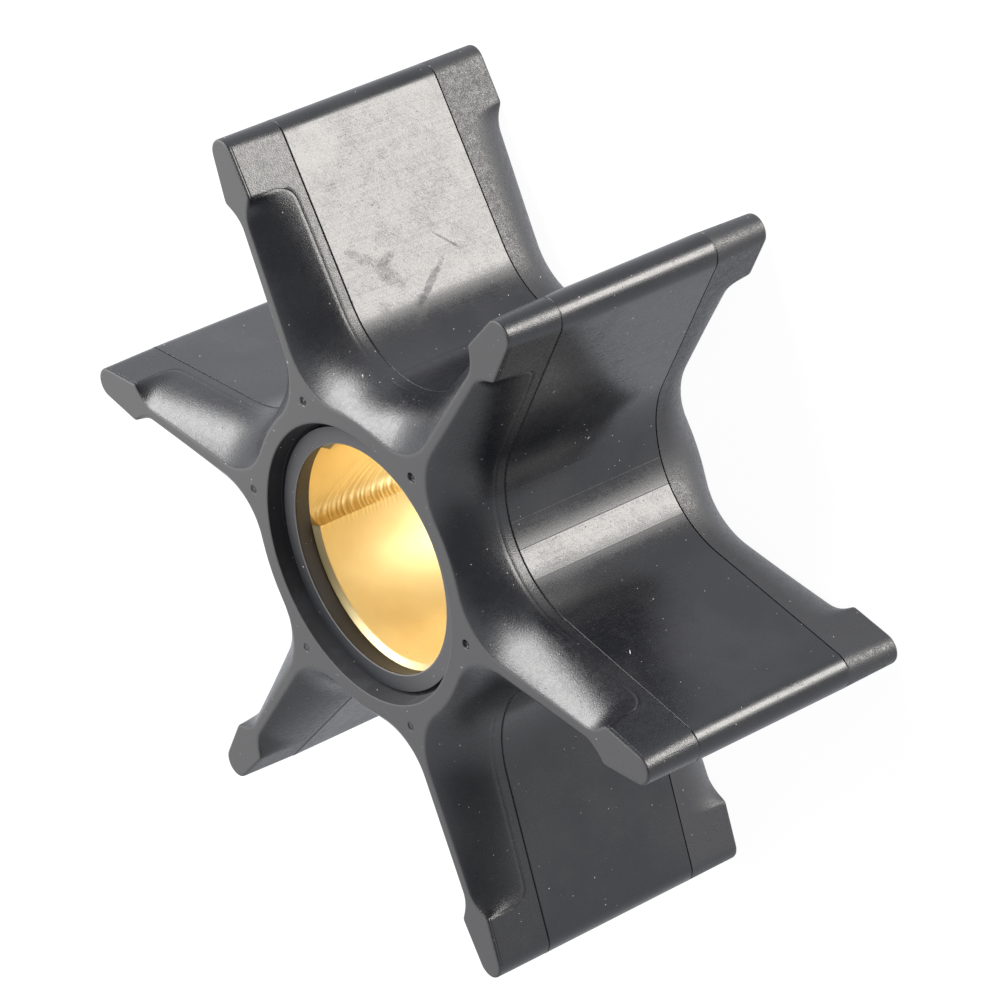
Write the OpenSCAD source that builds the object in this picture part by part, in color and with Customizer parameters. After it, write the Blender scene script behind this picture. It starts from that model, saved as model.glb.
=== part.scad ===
// Flexible pump impeller: a moulded rubber body with beaded vanes, bonded round a keyed brass hub insert.
// Millimetres. The axis is +Z, the lower end face lies on Z = 0, the first vane points to +Y.

/* [Body] */
// Distance from the axis to the tip of a vane
tip_radius = 32.3; // [30.5:0.1:36]
// Length of the body from end face to end face
length = 23.1; // [18:0.1:34]
// Number of vanes round the hub
vane_count = 6; // [5:1:7]

/* [Vanes] */
// Half thickness of a vane at its tip, between the parting lines
tip_half_thickness = 1.28; // [0.9:0.02:1.6]
// Angle of each flank to the middle plane of its vane
flank_taper = 7.2; // [5.5:0.1:8.5]
// Smallest radius of the pocket between two vanes, between the parting lines
pocket_radius = 14.0; // [13.6:0.1:15]

/* [End relief] */
// Distance from an end face to the parting line
parting_depth = 4.65; // [4.2:0.05:6]
// Depth along the axis at which the relief runs out
relief_depth = 3.7; // [2.8:0.05:4]
// Angle of the relief to the axis where it meets the end face
relief_slope = 61; // [45:1:70]
// Draft of the flanks between a parting line and its end face
end_draft = 2.3; // [1:0.1:3]
// Half thickness of the thin web of a vane on the end face
web_half_thickness = 0.37; // [0.3:0.01:0.6]
// Radius at which the bead along a vane tip begins
bead_start_radius = 27.6; // [27:0.1:28.5]
// Radial length of the hollow under the bead
bead_hollow = 2.2; // [1.6:0.1:3]
// Rounding of the corner of the relief under the bead
relief_corner = 1.3; // [0.6:0.1:2]
// Radius of the pocket floor on the end face
face_pocket_radius = 12.2; // [12:0.05:12.6]
// Fillet between a web and the pocket floor on the end face
face_fillet = 5.0; // [3:0.1:5.5]

/* [Hub recess] */
// Radius of the recess at the end face
recess_radius = 10.86; // [10.5:0.02:11.2]
// Radius of the recess at its floor
recess_floor_radius = 10.55; // [10.3:0.02:10.8]
// Depth of the recess
recess_depth = 1.1; // [0.6:0.05:1.6]
// Width of the groove at the foot of the recess wall
groove_width = 0.28; // [0.15:0.01:0.5]
// Depth of that groove below the recess floor
groove_depth = 0.3; // [0.1:0.05:0.6]
// Radius of the rubber lip at the recess floor
lip_radius = 8.88; // [8.8:0.02:9.2]
// Radius of the rubber lip where it meets the insert
lip_seat_radius = 9.2; // [9.18:0.02:9.6]

/* [Hub insert] */
// Radius of the bore
bore_radius = 8.75; // [8:0.05:8.8]
// Outer radius of the insert
insert_radius = 10.9; // [10.6:0.05:11.4]
// Distance from an end face to the end of the insert
insert_inset = 2.6; // [2:0.05:3.2]
// Chamfer at both ends of the bore
bore_chamfer = 0.43; // [0.1:0.01:0.45]
// Width of the keyway
keyway_width = 7.6; // [4:0.1:8.5]
// Radius of the keyway floor
keyway_floor_radius = 9.95; // [9.5:0.05:10.2]
// Direction of the keyway, counter-clockwise from +X
keyway_angle = 139.9; // [0:0.1:360]

/* [Pin marks] */
// Radius of the pin marks on the upper face
pin_mark_radius = 0.36; // [0.2:0.02:0.6]
// Depth of the pin marks
pin_mark_depth = 0.25; // [0.1:0.05:0.5]
// Distance of the pin marks from the axis
pin_mark_circle = 12.5; // [12:0.1:13]

/* [Hidden] */

// How far a cutting shape stands out of what it cuts.
cut_past = 1;
// Sides of the round forms.
round_sides = 120;
mark_sides = 16;

// Half of the angle between two vanes.
half_pitch = 180 / vane_count;
// A flank is the line v = flank_a - flank_b * u, u along the vane and v across it.
flank_b = tan(flank_taper);
flank_q = sqrt(1 + flank_b * flank_b);
flank_a = tip_half_thickness + flank_b * tip_radius;
draft_t = tan(end_draft);
full_draft = draft_t * parting_depth;
relief_k = sin(relief_slope);

// The pocket floor between the parting lines is an arc tangent to both flanks.
arc_gain = (sin(half_pitch) + flank_b * cos(half_pitch)) / flank_q;
arc_centre = (pocket_radius - flank_a / flank_q) / (1 - arc_gain);
arc_radius = arc_centre - pocket_radius;
arc_sweep = 90 - half_pitch - flank_taper;

// Points of half a vane: tip arc, flank of the bead, hollow, flank, pocket floor.
tip_steps = 4;
hollow_steps = 4;
flank_steps = 3;
floor_steps = 7;
hollow_end = bead_start_radius - bead_hollow;
arc_start_u = (arc_centre - arc_radius * cos(arc_sweep)) * cos(half_pitch)
  + arc_radius * sin(arc_sweep) * sin(half_pitch);
bead_mid_u = (bead_start_radius + tip_radius - tip_half_thickness) / 2;
u_flank = concat(
  [bead_mid_u, bead_start_radius],
  [for (i = [1 : hollow_steps]) bead_start_radius - bead_hollow * i / hollow_steps],
  [for (i = [1 : flank_steps - 1]) hollow_end + (arc_start_u - hollow_end) * i / flank_steps]);

// Point of a pocket frame, x along the middle of the pocket, as seen from the vane beside it.
function beside(x, y) = [
  x * cos(half_pitch) + y * sin(half_pitch),
  x * sin(half_pitch) - y * cos(half_pitch)];

// Radius of the tip arc when the flank stands back by s.
function tip_arc_radius(s) = (flank_a - s * flank_q - flank_b * tip_radius) / (flank_q - flank_b);
function tip_arc(s) = let (r = tip_arc_radius(s)) [
  for (i = [0 : tip_steps]) let (t = (90 - flank_taper) * i / tip_steps)
    [tip_radius - r + r * cos(t), r * sin(t)]];

// Flank and pocket floor between the parting lines, standing back by s.
function moulded(s) = concat(
  [for (u = u_flank) [u, flank_a - s * flank_q - flank_b * u]],
  [for (i = [0 : floor_steps]) let (t = arc_sweep * (1 - i / floor_steps))
    beside(arc_centre - (arc_radius + s) * cos(t), (arc_radius + s) * sin(t))]);

// The same points on the end face: bead, hollow, thin web, fillet and floor of the pocket.
bead_half = flank_a - full_draft * flank_q - flank_b * bead_start_radius;
fillet_v = web_half_thickness + face_fillet;
fillet_u = sqrt(pow(face_pocket_radius + face_fillet, 2) - fillet_v * fillet_v);
fillet_from = atan2(fillet_v, fillet_u);
fillet_sweep = 90 - fillet_from;
fillet_run = face_fillet * fillet_sweep;
floor_run = face_pocket_radius * (half_pitch - fillet_from);
function face_floor(run) = run <= fillet_run
  ? let (t = run / face_fillet) [fillet_u - face_fillet * sin(t), fillet_v - face_fillet * cos(t)]
  : let (t = fillet_from + (run - fillet_run) / face_pocket_radius)
    [face_pocket_radius * cos(t), face_pocket_radius * sin(t)];
function hollow_v(u) = let (s = (bead_start_radius - u) / bead_hollow)
  web_half_thickness + (bead_half - web_half_thickness) * pow(1 - s, 2);
web_flank = [for (i = [1 : flank_steps - 1])
  [hollow_end + (fillet_u - hollow_end) * i / flank_steps, web_half_thickness]];
on_face = concat(
  [for (i = [0, 1]) [u_flank[i], flank_a - full_draft * flank_q - flank_b * u_flank[i]]],
  [for (i = [2 : hollow_steps + 1]) [u_flank[i], hollow_v(u_flank[i])]],
  web_flank,
  [for (i = [0 : floor_steps]) face_floor((fillet_run + floor_run) * i / floor_steps)]);
at_face = moulded(full_draft);

// Depth at which the relief of point i runs out, less towards the bead.
function run_out(i) = i > hollow_steps + 1 ? relief_depth
  : let (x = max(0, min(1, (u_flank[i] - bead_start_radius + relief_corner) / relief_corner)))
    relief_depth - relief_corner * (1 - sqrt(1 - x * x));
// Share of the relief reached by point i at depth d, a quarter-round law.
function relief(i, d) = let (t = relief_k * max(0, 1 - d / run_out(i)))
  (1 - sqrt(1 - t * t)) / (1 - sqrt(1 - relief_k * relief_k));
function half_vane(d) = let (s = draft_t * max(0, parting_depth - d), m = moulded(s))
  concat(tip_arc(s), [for (i = [0 : len(m) - 1]) m[i] + (on_face[i] - at_face[i]) * relief(i, d)]);

// Outline of the whole body at depth d below an end face, counter-clockwise.
function star(d) = let (h = half_vane(d), n = len(h) - 1) [
  for (k = [0 : vane_count - 1]) let (t = 90 + 2 * half_pitch * k, c = cos(t), s = sin(t))
    for (j = [-n : n - 1]) let (p = h[abs(j)], v = j < 0 ? -p[1] : p[1])
      [p[0] * c - v * s, p[0] * s + v * c]];

// Levels of the outlines, closer together towards the end faces.
relief_shares = [0, 0.16, 0.35, 0.56, 0.78, 1];
levels = concat([for (a = relief_shares) relief_depth * a], [parting_depth]);
level_count = len(levels);

// Flat end made of strips across each vane and a regular middle, counter-clockwise from above.
function strip(r1, r0, l0, l1) = r0 == l0 ? [[r1, r0, l1]] : [[r1, r0, l0], [r1, l0, l1]];
function flat_end(from, n) = let (m = 2 * n * vane_count) concat(
  [for (k = [0 : vane_count - 1]) for (j = [1 : n])
    let (mid = 2 * n * k + n, right = from + mid - j, left = from + mid + j - 1)
      each strip(right, right + 1, left, from + (mid + j) % m)],
  [[for (k = [0 : vane_count - 1]) from + 2 * n * k]]);
function turned(faces) = [for (f = faces) [for (i = [len(f) - 1 : -1 : 0]) f[i]]];

module loft() {
  rings = concat(
    [for (i = [0 : level_count - 1]) [levels[i], levels[i]]],
    [for (i = [level_count - 1 : -1 : 0]) [levels[i], length - levels[i]]]);
  points = [for (r = rings) for (p = star(r[0])) [p[0], p[1], r[1]]];
  n = len(half_vane(0)) - 1;
  m = 2 * n * vane_count;
  last = len(rings) - 1;
  sides = [for (j = [0 : last - 1]) for (i = [0 : m - 1]) let (k = (i + 1) % m, a = j * m, b = a + m)
    each [[a + i, b + i, b + k], [a + i, b + k, a + k]]];
  polyhedron(
    points = points,
    faces = concat(flat_end(0, n), sides, turned(flat_end(last * m, n))));
}

// Space inside the rubber: both recesses, both lips and the seat of the insert.
module hub_space() {
  low = [
    [0, -cut_past],
    [recess_radius, -cut_past],
    [recess_radius, 0],
    [recess_floor_radius, recess_depth],
    [recess_floor_radius, recess_depth + groove_depth],
    [recess_floor_radius - groove_width, recess_depth + groove_depth],
    [recess_floor_radius - groove_width, recess_depth],
    [lip_radius, recess_depth],
    [lip_seat_radius, insert_inset],
    [insert_radius, insert_inset]];
  high = [for (i = [len(low) - 1 : -1 : 0]) [low[i][0], length - low[i][1]]];
  rotate_extrude($fn = round_sides)
    polygon(concat(low, high));
}

module vane_body() {
  color([0.16, 0.16, 0.17])
    difference() {
      loft();
      hub_space();
      for (k = [0 : vane_count - 1])
        rotate([0, 0, 90 + 2 * half_pitch * k])
          translate([pin_mark_circle, 0, length - pin_mark_depth])
            cylinder(r = pin_mark_radius, h = pin_mark_depth + cut_past, $fn = mark_sides);
    }
}

module hub_insert() {
  top = length - insert_inset;
  color([0.85, 0.65, 0.25])
    difference() {
      rotate_extrude($fn = round_sides)
        polygon([
          [bore_radius + bore_chamfer, insert_inset],
          [insert_radius, insert_inset],
          [insert_radius, top],
          [bore_radius + bore_chamfer, top],
          [bore_radius, top - bore_chamfer],
          [bore_radius, insert_inset + bore_chamfer]]);
      intersection() {
        translate([0, 0, insert_inset - cut_past])
          cylinder(r = keyway_floor_radius, h = top - insert_inset + 2 * cut_past, $fn = round_sides);
        rotate([0, 0, keyway_angle])
          translate([0, -keyway_width / 2, 0])
            cube([insert_radius, keyway_width, length]);
      }
    }
}

vane_body();
hub_insert();
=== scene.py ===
from math import cos, pi, radians, sin, sqrt, tan
from types import SimpleNamespace

import bmesh
import bpy
import numpy as np
from mathutils import Matrix, Vector


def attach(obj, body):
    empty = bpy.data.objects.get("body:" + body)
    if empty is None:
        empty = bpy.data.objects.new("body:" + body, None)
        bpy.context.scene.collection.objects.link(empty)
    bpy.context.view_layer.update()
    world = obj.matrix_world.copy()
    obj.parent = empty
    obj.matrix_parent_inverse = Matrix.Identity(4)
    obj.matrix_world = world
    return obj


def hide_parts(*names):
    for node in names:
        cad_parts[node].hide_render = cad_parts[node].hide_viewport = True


bl_info = {
    "name": "Pump Impeller",
    "version": (1, 0, 0),
    "blender": (4, 5, 0),
    "location": "View3D > Sidebar > Impeller",
    "description": "Builds a flexible pump impeller with a brass insert around its packed solids",
    "category": "Object",
}

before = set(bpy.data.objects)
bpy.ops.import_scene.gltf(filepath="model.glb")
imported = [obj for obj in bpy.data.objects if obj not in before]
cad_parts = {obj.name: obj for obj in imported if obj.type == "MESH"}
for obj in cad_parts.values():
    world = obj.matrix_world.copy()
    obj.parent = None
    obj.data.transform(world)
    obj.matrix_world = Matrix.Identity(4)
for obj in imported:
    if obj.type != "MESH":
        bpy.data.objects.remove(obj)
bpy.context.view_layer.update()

MM = 0.001
BODY = "root"


def number(name, description, default, **more):
    """A number for a property group."""
    return bpy.props.FloatProperty(name=name, description=description, default=default, **more)


def size(name, description, default):
    """A length in metres for a property group."""
    return number(name, description, default, min=0.0, subtype="DISTANCE", unit="LENGTH", precision=5)


def share(name, description, default):
    """A plain number from 0 to 1 for a property group."""
    return number(name, description, default, min=0.0, max=1.0, subtype="FACTOR", precision=3)


def angle(name, description, degrees):
    """An angle for a property group."""
    return number(name, description, radians(degrees), subtype="ANGLE", unit="ROTATION")


def colour(name, description, default):
    """A linear colour for a property group."""
    return bpy.props.FloatVectorProperty(
        name=name, description=description, default=default, size=3, min=0.0, max=1.0, subtype="COLOR")


# ---------------------------------------------------------------- sizes and colours


class ImpellerBodySizes(bpy.types.PropertyGroup):
    """Sizes of the moulded rubber body"""

    vane_count: bpy.props.IntProperty(
        name="Vanes", description="Number of vanes round the hub", default=6, min=5, max=7)
    tip_radius: size("Tip radius", "Distance from the axis to a vane tip", 0.03226)
    length: size("Length", "Length of the body from end face to end face", 0.0231)
    tip_half_thickness: size("Half thickness at the tip", "Half thickness of a vane at its tip", 0.00128)
    flank_taper: angle("Flank taper", "Angle of each flank to the middle plane of its vane", 7.2)
    pocket_radius: size("Pocket radius", "Smallest radius of the pocket between two vanes", 0.014)
    parting_depth: size("Parting depth", "Distance from an end face to the parting line", 0.00465)
    parting_step: size("Parting step", "How far the end zones stand back at the parting line", 0.00003)
    parting_groove: size("Parting groove", "Depth of the fine groove along the parting line", 0.00013)
    relief_depth: size("Relief depth", "Depth along the axis at which the relief runs out", 0.0037)
    relief_slope: angle("Relief slope", "Angle of the relief to the axis at the end face", 61)
    relief_crease: angle("Relief crease", "Angle of the crease where the relief begins", 9)
    crease_groove: size(
        "Crease groove", "Depth of the fine groove along that crease and the edge of the bead", 0.00002)
    end_draft: angle("End draft", "Draft of the flanks between a parting line and its end face", 2.3)
    web_half_thickness: size(
        "Half thickness of the web", "Half thickness of the thin web on the end face", 0.00037)
    bead_start_radius: size("Bead start", "Radius at which the bead along a vane tip begins", 0.0276)
    bead_hollow: size("Bead hollow", "Radial length of the hollow under the bead", 0.0022)
    relief_corner: size("Relief corner", "Rounding of the corner of the relief under the bead", 0.0013)
    face_pocket_radius: size("Face pocket radius", "Radius of the pocket floor on the end face", 0.0122)
    face_fillet: size("Face fillet", "Fillet between a web and the pocket floor on the end face", 0.005)
    edge_rounding: size("Edge rounding", "Rounding of the edges of the end faces", 0.0002)
    edge_ridge: size(
        "Edge ridge", "Height of the fine ridge that the mould leaves in that rounding", 0.000014)
    face_corner: size(
        "Face corner", "Rounding of the corner between bead and hollow on the end face", 0.00028)
    mould_line_near: size(
        "Inner mould line", "Distance of the inner mould lines from the middle of a pocket", 0.00105)
    mould_line_far: size(
        "Outer mould line", "Distance of the outer mould lines from the middle of a pocket", 0.00325)
    mould_line_depth: size("Mould line depth", "Depth of the mould lines along the pockets", 0.000013)
    flash_radius: size("Flash radius", "Half width of the flash along the parting lines", 0.000035)
    flash_offset: size("Flash offset", "Distance from a parting line to its flash", 0.00003)


class ImpellerHubSizes(bpy.types.PropertyGroup):
    """Sizes of the recess in the rubber and of the brass insert"""

    recess_radius: size("Recess radius", "Radius of the hub recess at the end face", 0.01086)
    recess_floor_radius: size("Recess floor radius", "Radius of the hub recess at its floor", 0.01055)
    recess_depth: size("Recess depth", "Depth of the hub recess", 0.0011)
    groove_width: size("Groove width", "Width of the groove at the foot of the recess wall", 0.00028)
    groove_depth: size("Groove depth", "Depth of that groove below the recess floor", 0.0003)
    lip_radius: size("Lip radius", "Radius of the rubber lip at the recess floor", 0.00888)
    lip_seat_radius: size("Lip seat radius", "Radius of the rubber lip where it meets the insert", 0.0092)
    bore_radius: size("Bore radius", "Radius of the bore", 0.00875)
    insert_radius: size("Insert radius", "Outer radius of the insert", 0.0109)
    insert_inset: size("Insert inset", "Distance from an end face to the end of the insert", 0.0026)
    bore_chamfer: size("Bore chamfer", "Chamfer at both ends of the bore", 0.0004)
    keyway_width: size("Keyway width", "Width of the keyway", 0.0076)
    keyway_floor_radius: size("Keyway floor radius", "Radius of the keyway floor", 0.00995)
    keyway_angle: angle("Keyway angle", "Direction of the keyway from +X", 139.9)
    keyway_fillet: size("Keyway fillet", "Fillet at the foot of the keyway walls", 0.0011)
    keyway_torn: size("Keyway torn edge", "How far the end edge of the keyway is torn", 0.00022)
    keyway_burr: size("Keyway burr", "Largest height of the burr along the edges of the keyway", 0.00003)
    chatter_depth: size("Chatter depth", "Depth of the tool marks in the keyway", 0.00005)
    pin_mark_radius: size("Pin mark radius", "Radius of the pin marks on the upper face", 0.00036)
    pin_mark_depth: size("Pin mark depth", "Depth of the pin marks", 0.00025)
    pin_mark_circle: size("Pin mark circle", "Distance of the pin marks from the axis", 0.0125)


class ImpellerFinish(bpy.types.PropertyGroup):
    """Colours, gloss and grain of the finishes"""

    rubber: colour("Rubber", "Black rubber of the body", (0.0056, 0.0060, 0.0084))
    bloom: colour("Bloom", "Paler rubber where it has bloomed", (0.0130, 0.0133, 0.0155))
    far_bloom: colour("Lower end", "Bloomed rubber below the lower parting line", (0.0165, 0.017, 0.0195))
    cut_face: colour("End face", "Matt rubber of the end faces", (0.051, 0.0505, 0.051))
    # Paler end face: the end faces turn from End face to this colour along one direction across the part.
    paler_face: colour("Bloomed end face", "End faces where they have bloomed most", (0.079, 0.078, 0.078))
    # Recess is the colour of the lit side of the recess floor, which shades into Rubber on its other side:
    # painted light and painted shade.
    recess: colour("Recess", "Floor of the hub recess", (0.060, 0.059, 0.061))
    lip: colour("Lip", "Stained inner wall of the rubber lip", (0.006, 0.003, 0.001))
    dust: colour("Dust", "Dust and fibres", (0.62, 0.62, 0.60))
    brass: colour("Brass", "Machined brass of the insert", (0.94, 0.765, 0.385))
    belt_roughness: share("Belt roughness", "Roughness between the parting lines", 0.215)
    near_roughness: share(
        "Upper end roughness", "Roughness between the upper parting line and its end face", 0.28)
    far_roughness: share(
        "Lower end roughness", "Roughness between the lower parting line and its end face", 0.46)
    face_roughness: share("Face roughness", "Roughness of the end faces", 0.55)
    belt_grain: size("Belt grain", "Height of the grain between the parting lines", 0.000003)
    near_grain: size("Upper end grain", "Height of the grain at the upper end", 0.000018)
    far_grain: size("Lower end grain", "Height of the grain at the lower end", 0.000014)
    face_grain: size("Face grain", "Height of the grain on the end faces", 0.000006)
    grain_size: size("Grain size", "Size of the grain", 0.000095)
    brass_roughness: share("Brass roughness", "Roughness of the brass", 0.55)


class ImpellerStage(bpy.types.PropertyGroup):
    """Camera and lights"""

    lens: number("Lens", "Focal length for a 36 mm wide sensor", 171.14, min=1.0, subtype="DISTANCE_CAMERA")
    side_strength: number("Side softbox", "Radiance of the softbox at the side", 10.2, min=0.0)
    side_edge_strength: number("Side softbox edge", "Radiance of the wider softbox round it", 2.8, min=0.0)
    top_strength: number("Top softbox", "Radiance of the softbox above", 9.2, min=0.0)
    top_edge_strength: number("Top softbox edge", "Radiance of the wider softbox round it", 1.2, min=0.0)
    fill_strength: number("Fill", "Strength of the even light from all around", 0.45, min=0.0)
    floor_glow: share("Floor", "How white the floor shows without light", 0.95)


# ---------------------------------------------------------------- helpers

SOCKET_KINDS = {int: "NodeSocketInt", float: "NodeSocketFloat", tuple: "NodeSocketVector"}
NUMBER_RESULTS = ("LENGTH", "DISTANCE", "DOT_PRODUCT")
ORIGIN = (0.0, 0.0, 0.0)
UNIT = (1.0, 1.0, 1.0)


def polar(radius, turn):
    """The point at a radius and an angle."""
    return radius * cos(turn), radius * sin(turn)


def direction(azimuth, elevation):
    """The unit vector towards an azimuth and an elevation in degrees."""
    return Vector((*polar(cos(radians(elevation)), radians(azimuth)), sin(radians(elevation))))


def put(name, data, matrix=None):
    """A new object in the scene."""
    obj = bpy.data.objects.new(name, data)
    if matrix is not None:
        obj.matrix_world = matrix
    bpy.context.scene.collection.objects.link(obj)
    return obj


def new_piece(name, verts, faces=(), edges=(), material=None):
    """A mesh object at the origin from metre coordinates."""
    mesh = bpy.data.meshes.new(name)
    mesh.from_pydata([tuple(v) for v in verts], edges, faces)
    mesh.validate()
    if material:
        mesh.materials.append(material)
    return put(name, mesh)


def strip_faces(start, rows, width, closed=False, flip=False):
    """Faces between rows of points of equal width, where each row may be a closed ring."""
    faces = []
    for row in range(start, start + (rows - 1) * width, width):
        for i in range(width if closed else width - 1):
            a, b = row + i, row + (i + 1) % width
            if flip:
                a, b = b, a
            faces.append((a, b, b + width, a + width))
    return faces


def finish_piece(obj, sharp, nodes=()):
    """Outward normals, smooth faces but for corners over sharp degrees, then the frame calls."""
    mesh = obj.data
    work = bmesh.new()
    work.from_mesh(mesh)
    bmesh.ops.recalc_face_normals(work, faces=work.faces)
    work.to_mesh(mesh)
    work.free()
    mesh.shade_smooth()
    mesh.set_sharp_from_angle(angle=radians(sharp))
    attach(obj, BODY)
    if nodes:
        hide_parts(*nodes)


def through_nodes(obj, tree, values):
    """Runs a node tree on the object with named values and keeps the result as its plain mesh."""
    modifier = obj.modifiers.new(tree.name, "NODES")
    modifier.node_group = tree
    for item in tree.interface.items_tree:
        if item.item_type == "SOCKET" and item.in_out == "INPUT" and item.name in values:
            modifier[item.identifier] = values[item.name]
    depsgraph = bpy.context.evaluated_depsgraph_get()
    mesh = bpy.data.meshes.new_from_object(obj.evaluated_get(depsgraph), depsgraph=depsgraph)
    obj.modifiers.remove(modifier)
    old = obj.data
    obj.data = mesh
    mesh.name = obj.name
    bpy.data.meshes.remove(old)


class Tree:
    """Short ways to add and link nodes in a geometry or shader tree."""

    def __init__(self, tree):
        self.tree = tree

    def plug(self, socket, value):
        """Links an output to the socket, or sets the socket's value."""
        if isinstance(value, bpy.types.NodeSocket):
            self.tree.links.new(value, socket)
        else:
            socket.default_value = value

    def add(self, kind, links=None, **settings):
        """The outputs of a new node, with its settings and a value or an output for each named input."""
        node = self.tree.nodes.new(kind)
        for key, value in settings.items():
            setattr(node, key, value)
        for key, value in (links or {}).items():
            self.plug(node.inputs[key], value)
        return node.outputs

    def math(self, operation, *values):
        """A number operation."""
        return self.add("ShaderNodeMath", dict(enumerate(values)), operation=operation)[0]

    def product(self, first, *others):
        """All the numbers multiplied."""
        for other in others:
            first = self.math("MULTIPLY", first, other)
        return first

    def total(self, start, *parts):
        """Start and then each value times its share."""
        for value, weight in parts:
            start = self.math("MULTIPLY_ADD", value, weight, start)
        return start

    def vector(self, operation, *values):
        """A vector operation: a number where it measures, or else a vector."""
        links = {0: values[0], "Scale": values[1]} if operation == "SCALE" else dict(enumerate(values))
        outputs = self.add("ShaderNodeVectorMath", links, operation=operation)
        return outputs["Value"] if operation in NUMBER_RESULTS else outputs[0]

    def ramp(self, value, low, high, to_low=0.0, to_high=1.0, smooth=True):
        """Value mapped from low..high to to_low..to_high and clamped."""
        return self.add("ShaderNodeMapRange", {
            "Value": value, "From Min": low, "From Max": high, "To Min": to_low, "To Max": to_high},
            interpolation_type="SMOOTHSTEP" if smooth else "LINEAR")[0]

    def noise(self, place, seed, scale, detail, roughness=0.5):
        """Noise from 0 to 1 that is different for each seed."""
        return self.add("ShaderNodeTexNoise", {
            "Vector": self.vector("ADD", place, seed), "Scale": scale, "Detail": detail,
            "Roughness": roughness})[0]

    def fall(self, value, low, high):
        """1 below low, 0 above high."""
        return self.ramp(value, low, high, 1.0, 0.0)

    def turned(self, place, angles, centre=ORIGIN):
        """Place turned about a centre."""
        return self.add("ShaderNodeVectorRotate", {
            "Vector": place, "Center": centre, "Rotation": angles}, rotation_type="EULER_XYZ")[0]

    def between(self, factor, first, second):
        """Number between first and second."""
        return self.add("ShaderNodeMix", {0: factor, 2: first, 3: second}, data_type="FLOAT")[0]

    def blend(self, factor, first, second):
        """Colour between first and second."""
        first, second = (c if isinstance(c, bpy.types.NodeSocket) else (*c, 1) for c in (first, second))
        return self.add("ShaderNodeMix", {0: factor, 6: first, 7: second}, data_type="RGBA")[2]


def node_group(name, kind, inputs, output, output_kind):
    """A node group with named inputs and one output: its tree, what it is given, and the output's socket.

    An input has its default, or the kind of its socket where it has none.
    """
    tree = bpy.data.node_groups.new(name, kind)
    for label, default in inputs.items():
        bare = isinstance(default, str)
        socket = tree.interface.new_socket(
            label, in_out="INPUT", socket_type=default if bare else SOCKET_KINDS[type(default)])
        if not bare:
            socket.default_value = default
    tree.interface.new_socket(output, in_out="OUTPUT", socket_type=output_kind)
    given = tree.nodes.new("NodeGroupInput").outputs
    return Tree(tree), given, tree.nodes.new("NodeGroupOutput").inputs[0]


def geometry_group(name, inputs):
    """A geometry node group from one mesh to another, with a material."""
    sockets = {"Geometry": "NodeSocketGeometry", **inputs, "Material": "NodeSocketMaterial"}
    return node_group(name, "GeometryNodeTree", sockets, "Geometry", "NodeSocketGeometry")


def end_geometry(t, given, result, geometry):
    """Realize Instances and Set Material, then the output."""
    real = t.add("GeometryNodeRealizeInstances", {"Geometry": geometry})[0]
    dressed = t.add("GeometryNodeSetMaterial", {"Geometry": real, "Material": given["Material"]})[0]
    t.plug(result, dressed)
    return t.tree


# ---------------------------------------------------------------- rubber body

TIP_STEPS = 12
BEAD_STEPS = 4
BEAD_CORNER = (0.00045, 0.0003, 0.00017)
HOLLOW_STEPS = 14
FLANK_STEPS = 14
FLOOR_STEPS = (10, 4, 4)
CREASE_HALF = 0.00006
SOFT_CREASE = radians(1)
MOULD_LINE_HALF = radians(0.35)
FAR_LINE_SHARE = 0.4
RELIEF_SHARES = (0.08, 0.13, 0.19, 0.26, 0.35, 0.45, 0.55, 0.65, 0.75, 0.85, 0.93)
LAND_SHARES = (0.4, 0.75)
MIDDLE_STEPS = 7
CREASE_GROOVE_HALF = 0.00005
# Rows of points across a groove or an edge: where each lies, and its share of the depth.
EDGE_GROOVE_ROWS = ((0.00004, 0.0), (0.00008, 1.0), (0.00012, 0.0))
GROOVE_ROWS = (
    (-0.00018, 0.0), (-0.0001, 0.0), (-0.000065, 1.0), (0.00002, 1.0), (0.00004, 0.0), (0.00012, 0.0))
EDGE_ROWS = ((0.18, 0.0), (0.34, 0.0), (0.44, 0.0), (0.52, 1.0), (0.6, 0.0), (0.72, 0.0), (0.86, 0.0))
EDGE_PROBE = 0.02 * MM
GUARD = 0.00005
HUB_EDGE = 0.10 * MM
HUB_ARC_STEPS = 48
# Points at the edge of the recess floor and over the edge of the lip: outwards and down, in millimetres.
GROOVE_LIP = ((-0.02, 0.05), (-0.07, 0.0), (-0.12, 0.0))
LIP_EDGE = ((0.17, 0.0), (0.12, 0.0), (0.04, 0.03), (0.02, 0.12))
# A pin mark from its rim to its raised middle: shares of the radius and of the depth.
PIN_MARK_ROWS = ((1.28, 0), (1.12, 0), (1.0, 0.25), (0.94, 0.8), (0.8, 1.0), (0.45, 0.95), (0.3, 0.5))
PIN_MARK_STEPS = 20
PIN_MARK_REACH = 1.4
PIN_MARK_SHARES = (0.5, 0.3, 0.25, 0.3, 1.0, 1.0)
# Flash: how far its outline stands back, the outline's share of the full size, and how noise thins it.
FLASH_SUNK = 0.00005
FLASH_SHARE = 0.9993
FLASH_LEAST = 0.08
FLASH_NOISE = (0.3, 0.7)
FLASH_NOISE_SCALE = 1800.0
FIRST_ANGLE = pi / 2
# The unevenness of the rubber fades out towards the hub and, from Calm Radius on, towards the tips.
UNEVEN_NOISE_SCALE = 95.0
CALM_HUB_RADII = (0.0112, 0.0135)
CALM_TIP_RADIUS = 0.0315
# What the two node trees are given, besides the material.
REPEAT = {
    "Count": 6, "First Angle": FIRST_ANGLE, "Seam Distance": 0.000002, "Unevenness": 0.00002,
    "Calm Radius": 0.029, "Seed": 3.0}
FLASH = {"Radius": 0.000035, "Step": 0.00015, "Raggedness": 1.2, "Seed": 5.0}


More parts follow.
